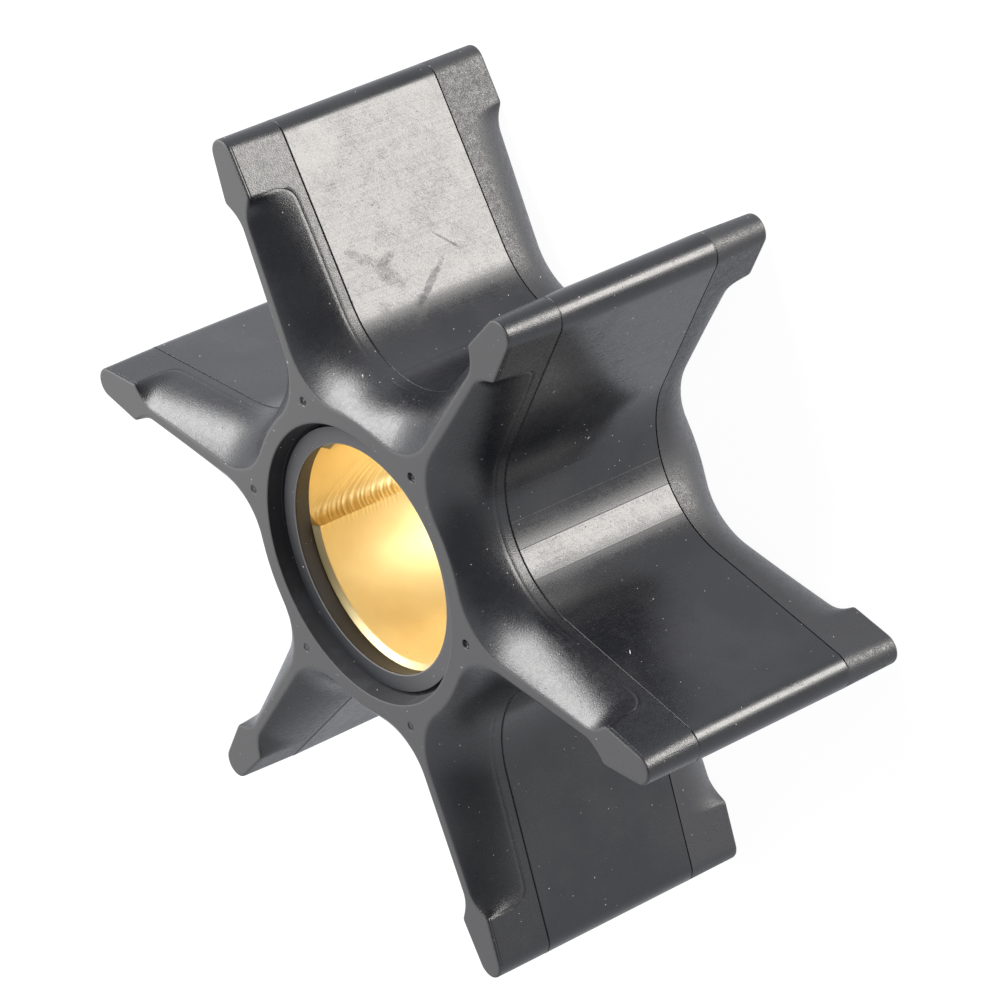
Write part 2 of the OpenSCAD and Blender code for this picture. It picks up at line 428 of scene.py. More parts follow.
def vane_profile(s, crisp=True):
    """Half a vane of the body: everything that half_vane() needs at any depth. The lower end is not crisp."""
    p = SimpleNamespace(s=s)
    p.relief_start = s.relief_crease if crisp else SOFT_CREASE
    p.crease_groove = s.crease_groove if crisp else 0.0
    p.half_pitch = pi / s.vane_count
    p.b = tan(s.flank_taper)
    p.q = sqrt(1 + p.b * p.b)
    p.a = s.tip_half_thickness + p.b * s.tip_radius
    p.draft = tan(s.end_draft)
    p.full_draft = p.draft * s.parting_depth + s.parting_step
    gain = (sin(p.half_pitch) + p.b * cos(p.half_pitch)) / p.q
    p.arc_centre = (s.pocket_radius - p.a / p.q) / (1 - gain)
    p.arc_radius = p.arc_centre - s.pocket_radius
    p.sweep = pi / 2 - p.half_pitch - s.flank_taper
    p.hollow_end = s.bead_start_radius - s.bead_hollow
    arc_u = ((p.arc_centre - p.arc_radius * cos(p.sweep)) * cos(p.half_pitch)
             + p.arc_radius * sin(p.sweep) * sin(p.half_pitch))
    p.tip_angles = np.linspace(0, pi / 2 - s.flank_taper, TIP_STEPS + 1)
    tip_r = (p.a - p.b * s.tip_radius) / (p.q - p.b)
    tip_end = s.tip_radius - tip_r + tip_r * cos(p.tip_angles[-1])
    corner = [s.bead_start_radius + away for away in (*BEAD_CORNER, CREASE_HALF, 0)]
    bead = np.concatenate([np.linspace(tip_end, corner[0], BEAD_STEPS + 1)[1:-1], corner])
    hollow = np.linspace(s.bead_start_radius - CREASE_HALF, p.hollow_end, HOLLOW_STEPS)
    flank = np.linspace(p.hollow_end, arc_u, FLANK_STEPS + 1)[1:-1]
    p.u = np.concatenate([bead, hollow, flank])
    p.crease = len(p.tip_angles) + len(bead) - 1
    far = np.arcsin(s.mould_line_far / p.arc_radius)
    near = np.arcsin(s.mould_line_near / p.arc_radius)
    d = MOULD_LINE_HALF
    p.floor_angles = np.concatenate([
        np.linspace(p.sweep, far + 2 * d, FLOOR_STEPS[0]), [far + d, far, far - d],
        np.linspace(far - 2 * d, near + 2 * d, FLOOR_STEPS[1]), [near + d, near, near - d],
        np.linspace(near - 2 * d, 0, FLOOR_STEPS[2])])
    p.lines = np.where(p.floor_angles == near, 1.0, np.where(p.floor_angles == far, FAR_LINE_SHARE, 0.0))
    p.on_face = points_on_face(p, bead, hollow)
    p.at_face = moulded(p, p.full_draft, 0.0)
    x = np.clip((p.u - s.bead_start_radius + s.relief_corner) / s.relief_corner, 0, 1)
    p.run_out = np.concatenate([
        np.full(len(p.tip_angles), s.relief_depth - s.relief_corner),
        s.relief_depth - s.relief_corner * (1 - np.sqrt(1 - x * x)),
        np.full(len(p.floor_angles), s.relief_depth)])
    return p


def points_on_face(p, bead, hollow):
    """The points of flank and pocket floor where they meet the end face, after the whole relief."""
    s, web = p.s, p.s.web_half_thickness
    bead_half = p.a - p.full_draft * p.q - p.b * s.bead_start_radius
    fillet_v = web + s.face_fillet
    fillet_u = sqrt((s.face_pocket_radius + s.face_fillet) ** 2 - fillet_v ** 2)
    fillet_from = np.arctan2(fillet_v, fillet_u)
    fillet_run = s.face_fillet * (pi / 2 - fillet_from)
    whole_run = fillet_run + s.face_pocket_radius * (p.half_pitch - fillet_from)

    def rounded(u, v):
        """Takes the corner between bead and hollow off."""
        reach = max(0, s.face_corner - abs(u - s.bead_start_radius))
        return u, v - reach ** 2 / (4 * s.face_corner)

    face = [rounded(u, p.a - p.full_draft * p.q - p.b * u) for u in bead]
    for u in hollow:
        part = (s.bead_start_radius - u) / s.bead_hollow
        face.append(rounded(u, web + (bead_half - web) * (1 - part) ** 2))
    for i in range(1, FLANK_STEPS):
        face.append((p.hollow_end + (fillet_u - p.hollow_end) * i / FLANK_STEPS, web))
    for t in p.floor_angles:
        run = whole_run * (1 - t / p.sweep)
        if run <= fillet_run:
            w = run / s.face_fillet
            face.append((fillet_u - s.face_fillet * sin(w), fillet_v - s.face_fillet * cos(w)))
        else:
            face.append(polar(s.face_pocket_radius, fillet_from + (run - fillet_run) / s.face_pocket_radius))
    return np.array(face)


def moulded(p, stand_back, line_depth):
    """Flank and pocket floor, standing back from the full outline."""
    flank = np.stack([p.u, p.a - stand_back * p.q - p.b * p.u], 1)
    r = p.arc_radius + stand_back
    t = p.floor_angles
    x, y = p.arc_centre - r * np.cos(t) - line_depth * p.lines, r * np.sin(t)
    c, w = cos(p.half_pitch), sin(p.half_pitch)
    return np.concatenate([flank, np.stack([x * c + y * w, x * w - y * c], 1)])


def half_vane(p, depth, sunk=0.0):
    """Half a vane at each point's own depth below the end face, from the tip to the middle of the pocket."""
    s = p.s
    depth = np.broadcast_to(depth, (len(p.run_out),)).astype(float)
    in_end = depth < s.parting_depth
    back = p.draft * np.maximum(0, s.parting_depth - depth) + s.parting_step * in_end + sunk
    tips, rest = back[:len(p.tip_angles)], back[len(p.tip_angles):]
    r = (p.a - tips * p.q - p.b * s.tip_radius) / (p.q - p.b)
    tip = np.stack([s.tip_radius - r + r * np.cos(p.tip_angles), r * np.sin(p.tip_angles)], 1)
    full = moulded(p, 0.0, 0.0 if in_end.all() else s.mould_line_depth)
    drawn = moulded(p, MM, 0.0) - moulded(p, 0.0, 0.0)
    points = full + drawn * (rest / MM)[:, None]
    k, k0 = sin(s.relief_slope), sin(p.relief_start)
    t = k0 + (k - k0) * np.clip(1 - depth / p.run_out, 0, 1)[len(p.tip_angles):]
    law = (sqrt(1 - k0 * k0) - np.sqrt(1 - t * t)) / (sqrt(1 - k0 * k0) - sqrt(1 - k * k))
    points = points + (p.on_face - p.at_face) * law[:, None]
    return np.concatenate([tip, points])


def mirrored(half):
    """The whole vane from its half: from the middle of one pocket to the middle of the next."""
    return np.concatenate([half[:0:-1] * (1, -1), half])


def vane_rings(p):
    """Outlines of one vane from the upper end face to the middle of the length, as (x, y, depth)."""
    s = p.s
    corner = half_vane(p, 0.0)
    lean = np.linalg.norm(half_vane(p, EDGE_PROBE) - corner, axis=1) / EDGE_PROBE
    start = s.edge_rounding / np.sqrt(1 + lean ** 2)
    starts = np.concatenate([start[:0:-1], start])
    whole = mirrored(corner)
    along = np.gradient(whole, axis=0)
    along[0] = (sin(p.half_pitch), cos(p.half_pitch))
    along[-1] = (-sin(p.half_pitch), cos(p.half_pitch))
    inward = np.stack([-along[:, 1], along[:, 0]], 1)
    inward /= np.linalg.norm(inward, axis=1)[:, None]

    def ring(points, depth):
        return np.column_stack([points, np.broadcast_to(depth, (len(points),))])

    first = mirrored(half_vane(p, start))
    flat = whole + inward * s.edge_rounding
    rings = [ring(whole + inward * (s.edge_rounding + GUARD), 0.0), ring(flat, 0.0)]
    for t, ridge in EDGE_ROWS:
        points = flat * (1 - t) ** 2 + whole * 2 * t * (1 - t) + first * t ** 2
        rings.append(ring(points - inward * (ridge * s.edge_ridge), starts * t ** 2))

    def add(depth, sunk=0.0):
        depth = np.broadcast_to(depth, (len(p.run_out),))
        rings.append(ring(mirrored(half_vane(p, depth, sunk)), np.concatenate([depth[:0:-1], depth])))

    # The fine groove runs along the face edge of the bead, in under it, and down where the relief runs out.
    index = np.arange(len(p.run_out))
    on_bead, on_crease, on_relief = (p.crease_groove * part for part in (
        index <= p.crease, index == p.crease, index >= p.crease))
    before, after = p.run_out - CREASE_GROOVE_HALF, p.run_out + CREASE_GROOVE_HALF
    last = s.parting_depth + GROOVE_ROWS[0][0]
    add(start)
    for step, part in EDGE_GROOVE_ROWS:
        add(start + step, on_bead * part)
    for part in RELIEF_SHARES:
        add(start + (before - start) * part, on_crease)
    add(before, on_crease)
    add(p.run_out, on_relief)
    add(after)
    for part in LAND_SHARES:
        add(after + (last - after) * part)
    for step, part in GROOVE_ROWS:
        add(s.parting_depth + step, s.parting_groove * part)
    middle = mirrored(half_vane(p, s.length / 2))
    for depth in np.linspace(s.parting_depth + GROOVE_ROWS[-1][0], s.length / 2, MIDDLE_STEPS)[1:]:
        rings.append(ring(middle, depth))
    return rings


def hub_profile(h, length):
    """The space inside the rubber as (radius, depth) points, from the upper end face to the middle."""
    rim, foot, floor, e = h.recess_radius, h.recess_floor_radius, h.recess_depth, HUB_EDGE
    wall = (rim - foot) / floor
    lip = (h.lip_seat_radius - h.lip_radius) / (h.insert_inset - floor)
    step, bottom = foot - h.groove_width, floor + h.groove_depth
    return [
        (rim + e + GUARD, 0),
        (rim + e, 0),
        (rim + e * 0.30, e * 0.12),
        (rim - wall * e * 0.5, e * 0.45),
        (rim - wall * e * 1.4, e * 1.4),
        (rim - (rim - foot) / 2, floor / 2),
        (foot, floor),
        (foot, floor + h.groove_depth * 0.6),
        (foot - h.groove_width * 0.25, bottom),
        (foot - h.groove_width * 0.75, bottom),
        (step, floor + h.groove_depth * 0.55),
        *((step + out * MM, floor + down * MM) for out, down in GROOVE_LIP),
        *((h.lip_radius + out * MM, floor + down * MM) for out, down in (*LIP_EDGE, (lip * 0.25, 0.25))),
        (h.lip_seat_radius - lip * 0.3 * MM, h.insert_inset - 0.3 * MM),
        (h.lip_seat_radius, h.insert_inset),
        (h.insert_radius, h.insert_inset),
        (h.insert_radius, length / 2)]


def build_sector(s, h):
    """One vane with half a pocket on each side, as points and faces. The vane points along +X."""
    p = vane_profile(s)
    verts, faces = [], []

    def grid(rows, closed=False):
        """Adds rows of points of equal length and the faces between them."""
        start, width = len(verts), len(rows[0])
        for row in rows:
            verts.extend(row)
        faces.extend(strip_faces(start, len(rows), width, closed))
        return [list(range(first, first + width)) for first in (start, len(verts) - width)]

    rings = [[(x, y, s.length - d) for x, y, d in r] for r in vane_rings(p)]
    rings += [[(x, y, d) for x, y, d in r] for r in vane_rings(vane_profile(s, crisp=False))[-2::-1]]
    outer = grid(rings)
    arc = np.linspace(-p.half_pitch, p.half_pitch, HUB_ARC_STEPS + 1)
    profile = hub_profile(h, s.length)
    inner = grid([[(*polar(r, t), s.length - d) for t in arc] for r, d in profile]
                 + [[(*polar(r, t), d) for t in arc] for r, d in profile[-2::-1]])
    turns = np.linspace(0, 2 * pi, PIN_MARK_STEPS, endpoint=False)
    pin_rows = []
    for out, deep in PIN_MARK_ROWS:
        around = [polar(h.pin_mark_radius * out, t) for t in turns]
        pin_rows.append([(h.pin_mark_circle + x, y, s.length - h.pin_mark_depth * deep) for x, y in around])
    pin_rim, pin_middle = grid(pin_rows, closed=True)
    faces.append(tuple(pin_middle))

    # The flat end faces lie between the outline, the recess and the pin mark.
    for loops in ([outer[0] + inner[0][::-1], pin_rim], [outer[1] + inner[1][::-1]]):
        work = bmesh.new()
        lookup, edges = {}, []
        for loop in loops:
            made = [work.verts.new(verts[i]) for i in loop]
            lookup.update(zip(made, loop))
            edges += [work.edges.new((made[k - 1], made[k])) for k in range(len(made))]
        work.normal_update()
        bmesh.ops.triangle_fill(work, use_beauty=True, edges=edges)
        faces.extend(tuple(lookup[v] for v in face.verts) for face in work.faces)
        work.free()
    return verts, faces


def vane_angles(s):
    """The direction of each vane."""
    return [FIRST_ANGLE + 2 * pi * k / s.vane_count for k in range(s.vane_count)]


def repeat_round_axis():
    """Node tree: the given geometry repeated round Z, joined at its seams, with a faint unevenness."""
    t, g, result = geometry_group("Repeat Round Axis", REPEAT)
    points = t.add("GeometryNodePoints", {"Count": g["Count"]})[0]
    part = t.math("DIVIDE", t.add("GeometryNodeInputIndex")[0], g["Count"])
    spin = t.add("ShaderNodeCombineXYZ", {"Z": t.math("MULTIPLY_ADD", part, 2 * pi, g["First Angle"])})[0]
    copies = t.add("GeometryNodeInstanceOnPoints", {
        "Points": points, "Instance": g["Geometry"], "Rotation": spin})[0]
    real = t.add("GeometryNodeRealizeInstances", {"Geometry": copies})[0]
    whole = t.add("GeometryNodeMergeByDistance", {"Geometry": real, "Distance": g["Seam Distance"]})[0]
    place = t.add("GeometryNodeInputPosition")[0]
    noise = t.add("ShaderNodeTexNoise", {
        "Vector": place, "W": g["Seed"], "Scale": UNEVEN_NOISE_SCALE, "Detail": 1.0},
        noise_dimensions="4D")["Color"]
    sideways = t.vector("MULTIPLY", t.vector("SUBTRACT", noise, (0.5, 0.5, 0.5)), (2.0, 2.0, 0.0))
    radius = t.vector("LENGTH", t.vector("MULTIPLY", place, (1.0, 1.0, 0.0)))
    amount = t.product(
        t.ramp(radius, g["Calm Radius"], CALM_TIP_RADIUS, 1.0, 0.0, smooth=False),
        t.ramp(radius, *CALM_HUB_RADII, smooth=False), g["Unevenness"])
    shift = t.vector("SCALE", sideways, amount)
    moved = t.add("GeometryNodeSetPosition", {"Geometry": whole, "Offset": shift})[0]
    return end_geometry(t, g, result, moved)


def flash_along_lines():
    """Node tree: a thin ragged bead of flash along the given edges."""
    t, g, result = geometry_group("Flash Along Lines", FLASH)
    line = t.add("GeometryNodeMeshToCurve", {"Mesh": g["Geometry"]})[0]
    even = t.add("GeometryNodeResampleCurve", {"Curve": line, "Length": g["Step"]}, mode="LENGTH")[0]
    place = t.add("GeometryNodeInputPosition")[0]
    noise = t.add("ShaderNodeTexNoise", {
        "Vector": place, "W": g["Seed"], "Scale": FLASH_NOISE_SCALE, "Detail": 2.0}, noise_dimensions="4D")[0]
    less = t.ramp(noise, *FLASH_NOISE, 0.0, g["Raggedness"], smooth=False)
    kept = t.math("MAXIMUM", t.math("SUBTRACT", 1.0, less), FLASH_LEAST)
    ragged = t.add("GeometryNodeSetCurveRadius", {"Curve": even, "Radius": kept})[0]
    section = t.add("GeometryNodeCurvePrimitiveCircle", {"Resolution": 6, "Radius": g["Radius"]})[0]
    bead = t.add("GeometryNodeCurveToMesh", {"Curve": ragged, "Profile Curve": section})[0]
    smooth = t.add("GeometryNodeSetShadeSmooth", {"Geometry": bead})[0]
    return end_geometry(t, g, result, smooth)


# ---------------------------------------------------------------- brass insert

INSERT_BORE_STEPS = 124
INSERT_FILLET_STEPS = 14
INSERT_WALL_STEPS = 5
INSERT_FLOOR_STEPS = 60
INSERT_LEVELS = 260
CHAMFER_NEAR = 0.03 * MM
CHAMFER_CLEAR = 0.12 * MM
END_ROW = 0.04 * MM
CHATTER_SEED = 11
CHATTER_BEND = 230.0
CHATTER_START = -2 * MM
CHATTER_SHIFT = 4 * MM
CHATTER_SPARE = 6 * MM
CHATTER_FADE = 0.7
INSERT_BAND = 1 * MM
# Least and most of each stroke of the tool, lengths in millimetres.
STROKE_STEP = (0.2, 0.5)
STROKE_LEAN = (0.05, 0.2)
STROKE_WIDTH = (0.08, 0.13)
STROKE_REACH = (2.5, 6.5)
STROKE_STRENGTH = (0.25, 1.0)


def insert_outline(h):
    """Points round the bore and the keyway, with the keyway's middle on +X.

    With them comes how far each point of the keyway lies from its lower edge, or -1 on the bore.
    """
    half = h.keyway_width / 2
    edge = np.arcsin(half / h.bore_radius)
    f = h.keyway_fillet
    centre_y = half - f
    centre_x = sqrt((h.keyway_floor_radius - f) ** 2 - centre_y ** 2)
    foot = np.arctan2(centre_y, centre_x)
    side = [(centre_x + f * cos(t), centre_y + f * sin(t))
            for t in np.linspace(foot, pi / 2, INSERT_FILLET_STEPS + 1)[1:]]
    low_x = sqrt(h.bore_radius ** 2 - half ** 2)
    side += [(centre_x + (low_x - centre_x) * k / INSERT_WALL_STEPS, half)
             for k in range(1, INSERT_WALL_STEPS + 1)]
    floor = [polar(h.keyway_floor_radius, t) for t in np.linspace(-foot, foot, INSERT_FLOOR_STEPS + 1)]
    keyway = [(x, -y) for x, y in reversed(side)] + floor + side
    bore = [polar(h.bore_radius, t) for t in np.linspace(edge, 2 * pi - edge, INSERT_BORE_STEPS + 1)[1:-1]]
    points = np.array(keyway + bore)
    steps = np.linalg.norm(np.diff(points[:len(keyway)], axis=0), axis=1)
    across = np.concatenate([[0], np.cumsum(steps)])[::-1]
    return points, np.concatenate([across, np.full(len(bore), -1.0)])


def chatter_strokes(random, length):
    """Tool marks in the keyway: place, lean, width, reach and strength of each stroke."""
    strokes = []
    at = CHATTER_START
    while at < length + CHATTER_SPARE:
        at += random.uniform(*STROKE_STEP) * MM
        strokes.append((at, random.uniform(*STROKE_LEAN), random.uniform(*STROKE_WIDTH) * MM,
                        random.uniform(*STROKE_REACH) * MM, random.uniform(*STROKE_STRENGTH)))
    return strokes


def build_insert(h, length):
    """Points and faces of the brass insert."""
    points, across = insert_outline(h)
    n = len(points)
    top, bottom = length - h.insert_inset, h.insert_inset
    c = h.bore_chamfer
    ends = np.array([0, END_ROW, c * 0.5, c - CHAMFER_NEAR, c + CHAMFER_NEAR])
    levels = np.concatenate([
        top - ends, np.linspace(top - c - CHAMFER_CLEAR, bottom + c + CHAMFER_CLEAR, INSERT_LEVELS),
        bottom + ends[::-1]])
    in_key = across >= 0
    along = np.roll(points, -1, axis=0) - np.roll(points, 1, axis=0)
    inward = np.stack([-along[:, 1], along[:, 0]], 1) / np.linalg.norm(along, axis=1)[:, None]
    edges = np.flatnonzero(in_key)[[0, -1]]
    random = np.random.default_rng(CHATTER_SEED)
    strokes = chatter_strokes(random, top - bottom)
    turn = np.array([[cos(h.keyway_angle), sin(h.keyway_angle)], [-sin(h.keyway_angle), cos(h.keyway_angle)]])
    verts = []

    def ring(ring_points, z):
        verts.extend(zip(ring_points[:, 0], ring_points[:, 1], np.full(n, z)))

    for z in levels:
        marks = np.zeros(n)
        for at, lean, width, reach, strength in strokes:
            line = top - z - at + CHATTER_SHIFT - (lean * across + across ** 2 * CHATTER_BEND)
            fading = strength * np.clip(1 - across / reach, 0, 1) ** CHATTER_FADE
            marks += fading * np.exp(-(line / width) ** 2)
        moved = points + inward * (marks * in_key * h.chatter_depth)[:, None]
        burr = random.uniform(0, 1, 2) ** 2 * h.keyway_burr
        moved[edges] *= 1 - (burr / h.bore_radius)[:, None]
        if z == top:
            torn = random.uniform(0, 1, n) ** 3 * h.keyway_torn * in_key
            moved *= 1 + (torn / h.keyway_floor_radius)[:, None]
        cone = h.bore_radius + c - min(top - z, z - bottom)
        if cone > h.bore_radius:
            moved *= np.maximum(1, cone / np.linalg.norm(moved, axis=1))[:, None]
        ring(moved @ turn, z)
    last, start = len(verts) - n, len(verts)
    outer = points / np.linalg.norm(points, axis=1)[:, None] * h.insert_radius @ turn
    bands = (top, top - INSERT_BAND, bottom + INSERT_BAND, bottom)
    for z in bands:
        ring(outer, z)
    end = len(verts) - n
    faces = strip_faces(0, len(levels), n, closed=True)
    faces += strip_faces(start, len(bands), n, closed=True, flip=True)
    for j in range(n):
        k = (j + 1) % n
        faces += [(k, j, start + j, start + k), (last + j, last + k, end + k, end + j)]
    return verts, faces


# ---------------------------------------------------------------- finishes

# Edges of the zones of the rubber in millimetres: from the axis, or from the middle of the length.
BELT_EDGE = 0.01
HALVES_EDGE = 0.1
FACE_EDGE = (0.07, 0.02)
HUB_OUTSIDE = (10.92, 10.96)
WALL_FOOT = (10.3, 10.35)
FLOOR_BELOW = (10.4, 10.42)
FLOOR_ABOVE = (10.46, 10.48)
LIP_OUTSIDE = (9.2, 9.24)
LIP_ABOVE = (10.35, 10.43)
# Where the painted highlight along the edge of the lip lies.
RIM_OUTSIDE = (8.97, 9.03)
RIM_BELOW = (10.38, 10.44)
# Tints that run across the part: the direction, and from where to where in millimetres.
# The end faces turn paler towards this direction.
FACE_PALER_TOWARDS, FACE_PALER_FROM_TO = (-0.7, 0.71, 0.0), (-8.0, 26.0)
# The recess floor is painted paler towards this direction and darker away from it: painted light and painted
# shade.
PAINTED_LIGHT_TOWARDS, PAINTED_LIGHT_FROM_TO = (0.77, 0.64, 0.0), (-10.5, -1.0)
SCUFF_TINT = (0.034, 0.037, 0.044)
# A pale grey painted highlight along the edge of the lip.
PAINTED_RIM_HIGHLIGHT = (0.12, 0.12, 0.12)
# Pits are painted darker than the rubber: painted shade inside them.
PIT_SHADE_TINT = (0.004, 0.004, 0.004)
FLOOR_ROUGHNESS, WALL_ROUGHNESS, LIP_ROUGHNESS, PIT_ROUGHNESS, DUST_ROUGHNESS = 0.42, 0.95, 0.55, 0.75, 0.9
FINE_DUST_SHARE, DASH_SHARE = 0.65, 0.8
POLISH_HEIGHT = 0.0012
RUBBER_IOR = 1.6
# Brass: shares of its colour, its specks, heights in millimetres and the thin layer over it.
DEEP_BRASS = (0.96, 0.93, 0.88)
# The ends of the bore, with their chamfers, are painted darker: painted shade under the rubber lip.
END_BRASS_SHADE = 0.5
BRASS_SPECK_TINT = (0.25, 0.16, 0.05)
BRASS_SPECK_METAL = 0.6
TURNING_HEIGHT, BRASS_GRAIN_HEIGHT = 0.003, 0.002
COAT, COAT_ROUGHNESS = 0.8, 0.3
# A speck's least share of the radius, and the share of it that is solid.
SPECK_LEAST = 0.3
SPECK_CORE = 0.55
# Marks on the flank that catches the light: centre, tilt about X, half width, half length and
# change of roughness, lengths in millimetres.
SMUDGES = (
    ((2.9, 19.3, 14.8), -0.55, 0.95, 1.9, 0.09),
    ((2.8, 20.9, 16.4), -0.85, 0.5, 1.6, 0.08),
    ((2.8, 20.2, 14.4), 1.2, 0.5, 1.1, 0.08),
    ((3.2, 17.4, 11.8), -2.23, 0.38, 2.6, 0.16),
    ((3.4, 16.1, 13.3), -2.5, 0.7, 1.6, 0.10),
    ((2.8, 20.0, 9.2), -0.78, 0.11, 1.7, 0.16),
    ((1.5, 29.5, 16.6), 0.0, 3.1, 2.4, -0.05),
    ((3.4, 16.6, 16.2), 0.3, 0.8, 1.2, 0.06),
    ((2.4, 24.0, 9.0), 0.6, 2.2, 3.4, 0.03),
)
SMUDGE_DEEP = 2.5
SMUDGE_UNEVEN = 1.1


def shader_group(name, output, **inputs):
    """A shader node group that gives one number for a place and further inputs."""
    sockets = {"Place": "NodeSocketVector", **inputs}
    return node_group(name, "ShaderNodeTree", sockets, output, "NodeSocketFloat")


def grain_group():
    """Even grain of a given size, about -0.5 to 0.5."""
    t, g, result = shader_group("Grain", "Height", Size=0.1, Detail=1.0, Seed=0.0)
    noise = t.noise(g["Place"], g["Seed"], t.math("DIVIDE", 1.0, g["Size"]), g["Detail"])
    t.plug(result, t.math("SUBTRACT", noise, 0.5))
    return t.tree


def patches_group():
    """Soft or crisp patches: 1 inside, 0 outside."""
    t, g, result = shader_group(
        "Patches", "Mask", Size=5.0, Threshold=0.55, Softness=0.1, Raggedness=0.5, Seed=0.0)
    noise = t.noise(g["Place"], g["Seed"], t.math("DIVIDE", 1.0, g["Size"]), 3.0, g["Raggedness"])
    t.plug(result, t.ramp(noise, g["Threshold"], t.math("ADD", g["Threshold"], g["Softness"])))
    return t.tree


def specks_group():
    """Scattered specks, drawn out into dashes along a wider spacing: 1 inside, 0 outside."""
    t, g, result = shader_group(
        "Specks", "Mask", Turn=ORIGIN, Spacing=UNIT, Radius=0.08, Share=0.5, Offset=ORIGIN)
    cells = t.vector("DIVIDE", t.turned(g["Place"], g["Turn"]), g["Spacing"])
    dots = t.add("ShaderNodeTexVoronoi", {
        "Vector": t.vector("ADD", cells, g["Offset"]), "Scale": 1.0, "Randomness": 0.9})
    pick = t.add("ShaderNodeSeparateColor", {"Color": dots["Color"]})
    used = t.math("GREATER_THAN", pick[0], t.math("SUBTRACT", 1.0, g["Share"]))
    grow = t.math("MULTIPLY_ADD", pick[1], 1 - SPECK_LEAST, SPECK_LEAST)
    radius = t.product(g["Radius"], grow, used)
    outside = t.ramp(dots["Distance"], t.product(radius, SPECK_CORE), t.math("ADD", radius, 0.0001))
    t.plug(result, t.product(t.math("SUBTRACT", 1.0, outside), used))
    return t.tree


def streaks_group():
    """Fine lines drawn out along a wider spacing, about -0.5 to 0.5."""
    t, g, result = shader_group("Streaks", "Height", Turn=ORIGIN, Spacing=UNIT, Seed=0.0)
    drawn = t.vector("DIVIDE", t.turned(g["Place"], g["Turn"]), g["Spacing"])
    t.plug(result, t.math("SUBTRACT", t.noise(drawn, g["Seed"], 1.0, 1.0), 0.5))
    return t.tree


def smudge_group():
    """One mark of a given place, direction and reach, with an uneven edge: 1 inside, 0 outside."""
    t, g, result = shader_group(
        "Smudge", "Mask", Centre=ORIGIN, Turn=ORIGIN, Reach=UNIT, Uneven=0.0, Softness=0.2)
    away = t.vector("SUBTRACT", t.turned(g["Place"], g["Turn"], g["Centre"]), g["Centre"])
    distance = t.vector("LENGTH", t.vector("DIVIDE", away, g["Reach"]))
    t.plug(result, t.fall(t.math("ADD", distance, g["Uneven"]), t.math("SUBTRACT", 1.0, g["Softness"]), 1.0))
    return t.tree


class Finish(Tree):
    """The tree of a material with the Principled shader, its places in millimetres and its masks."""

    def __init__(self, name, groups, length):
        material = bpy.data.materials.new(name)
        material.use_nodes = True
        super().__init__(material.node_tree)
        self.inputs = material.node_tree.nodes["Principled BSDF"].inputs
        self.groups = groups
        self.place = self.vector("SCALE", self.add("ShaderNodeTexCoord")["Object"], 1 / MM)
        x, y, self.z = self.add("ShaderNodeSeparateXYZ", {0: self.place})
        self.radius = self.math("SQRT", self.math("ADD", self.product(x, x), self.product(y, y)))
        self.middle = length / MM / 2
        self.off = self.math("ABSOLUTE", self.math("SUBTRACT", self.z, self.middle))

    def mask(self, name, **values):
        """The output of one of the groups at this place."""
        return self.add("ShaderNodeGroup", {"Place": self.place, **values}, node_tree=self.groups[name])[0]

    def finish(self, tint, rough, relief):
        """Plugs the colour, the roughness and the heights in millimetres into the shader."""
        bump = self.add("ShaderNodeBump", {"Strength": 1.0, "Distance": MM, "Height": relief})[0]
        for name, value in (("Base Color", tint), ("Roughness", rough), ("Normal", bump)):
            self.plug(self.inputs[name], value)


